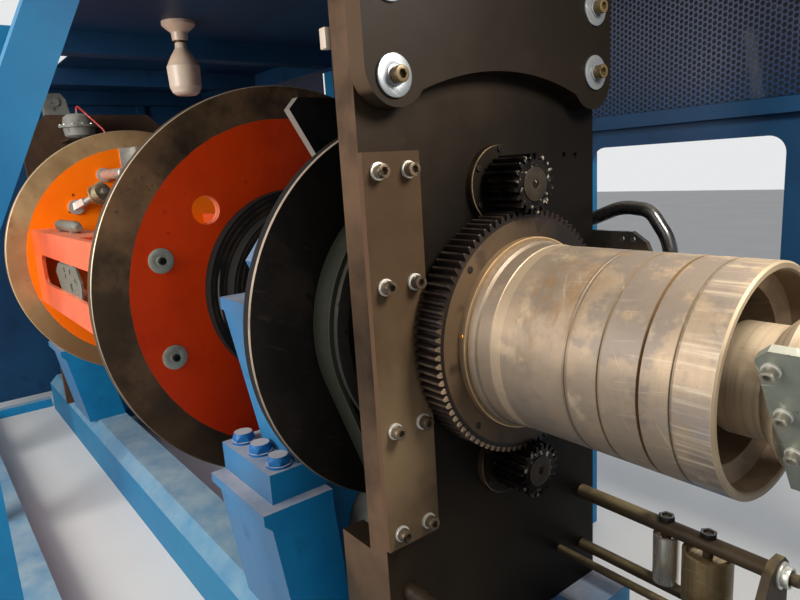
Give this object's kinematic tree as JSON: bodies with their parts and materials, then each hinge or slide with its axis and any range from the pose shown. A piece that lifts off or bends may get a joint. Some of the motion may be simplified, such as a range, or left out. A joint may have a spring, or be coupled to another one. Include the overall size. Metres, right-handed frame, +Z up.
{
  "type": "cable taping machine",
  "caption": "Floor-standing cable taping machine: a driven twin-disc taping head, a gear plate turning a long steel sleeve with pinions, and a blue guard open on one side.",
  "frame": {"origin": "centre of the machine's footprint at floor level", "axes": "+X along the cable towards the outlet end, +Z up, the guard's open side towards -Y"},
  "size_m": [4.56, 1.86, 1.904],
  "materials": {
    "blue_paint": "satin",
    "blue_sheet": "satin",
    "orange_paint": "satin",
    "machined_steel": "satin",
    "dark_steel": "satin",
    "black_steel": "satin",
    "zinc_plate": "satin",
    "grey_cast": "matte",
    "belt_rubber": "matte",
    "lamp_shell": "gloss",
    "hose_red": "gloss"
  },
  "bodies": {
    "rotor": {"rotor_tube": "dark_steel", "rear_disc": "orange_paint", "front_disc": "orange_paint", "near_box_frame": "orange_paint", "far_box_frame": "orange_paint", "front_hub": "black_steel", "rear_hub": "black_steel", "black_disc": "black_steel", "belt_pulley": "black_steel", "tape_guides": "zinc_plate", "tape_rollers": "machined_steel", "frame_fittings": "zinc_plate"},
    "sleeve_group": {"sleeve": "machined_steel", "ring_gear": "dark_steel"},
    "upper_pinion_group": {"upper_pinion": "black_steel"},
    "lower_pinion_group": {"lower_pinion": "black_steel"},
    "machine_frame": {"gear_plate": "dark_steel", "upper_plate": "dark_steel", "plate_side_bar": "dark_steel", "upper_rods": "dark_steel", "lower_rods": "dark_steel", "rod_end_plates": "dark_steel", "rear_plate": "dark_steel", "brake_bracket": "dark_steel", "pinion_bearings": "black_steel", "sleeve_bearing": "black_steel", "drive_pulley": "black_steel", "top_arm": "black_steel", "side_unit": "black_steel", "front_housing": "blue_paint", "rear_housing": "blue_paint", "front_housing_bolts": "blue_paint", "rear_housing_bolts": "blue_paint", "front_pedestal": "blue_paint", "rear_pedestal": "blue_paint", "base_beams": "blue_paint", "base_cross_members": "blue_paint", "plate_stand": "blue_paint", "guide_stand": "blue_paint", "guard_sills": "blue_paint", "guard_posts": "blue_paint", "guard_rafters": "blue_paint", "roof_beams": "blue_sheet", "far_wall": "blue_sheet", "pierced_panels": "blue_sheet", "wall_rail": "blue_sheet", "roof_sheet": "blue_sheet", "rear_wall": "blue_sheet", "guide_tube": "machined_steel", "small_rollers": "machined_steel", "large_rollers": "machined_steel", "guide_arms": "zinc_plate", "drive_motor": "grey_cast", "brake_chamber": "grey_cast", "drive_belt": "belt_rubber", "side_hose": "belt_rubber", "brake_hose": "hose_red", "lamp_holder": "lamp_shell", "lamp_bulb": "lamp_shell", "plate_switch": "lamp_shell"}
  },
  "joints": [
    {"name": "rotor_spin", "type": "hinge", "parent": "machine_frame", "child": "rotor", "pos_m": [0, 0, 1], "axis": [1, 0, 0], "continuous": true},
    {"name": "sleeve_spin", "type": "hinge", "parent": "machine_frame", "child": "sleeve_group", "pos_m": [1.5, 0, 1], "axis": [1, 0, 0], "continuous": true},
    {"name": "upper_pinion_spin", "type": "hinge", "parent": "machine_frame", "child": "upper_pinion_group", "pos_m": [1.35, 0, 1.28], "axis": [1, 0, 0], "continuous": true},
    {"name": "lower_pinion_spin", "type": "hinge", "parent": "machine_frame", "child": "lower_pinion_group", "pos_m": [1.35, 0, 0.72], "axis": [1, 0, 0], "continuous": true}
  ],
  "couplings": [
    {"joint": "upper_pinion_spin", "follows": "sleeve_spin", "ratio": -4.6},
    {"joint": "lower_pinion_spin", "follows": "sleeve_spin", "ratio": -4.6}
  ]
}
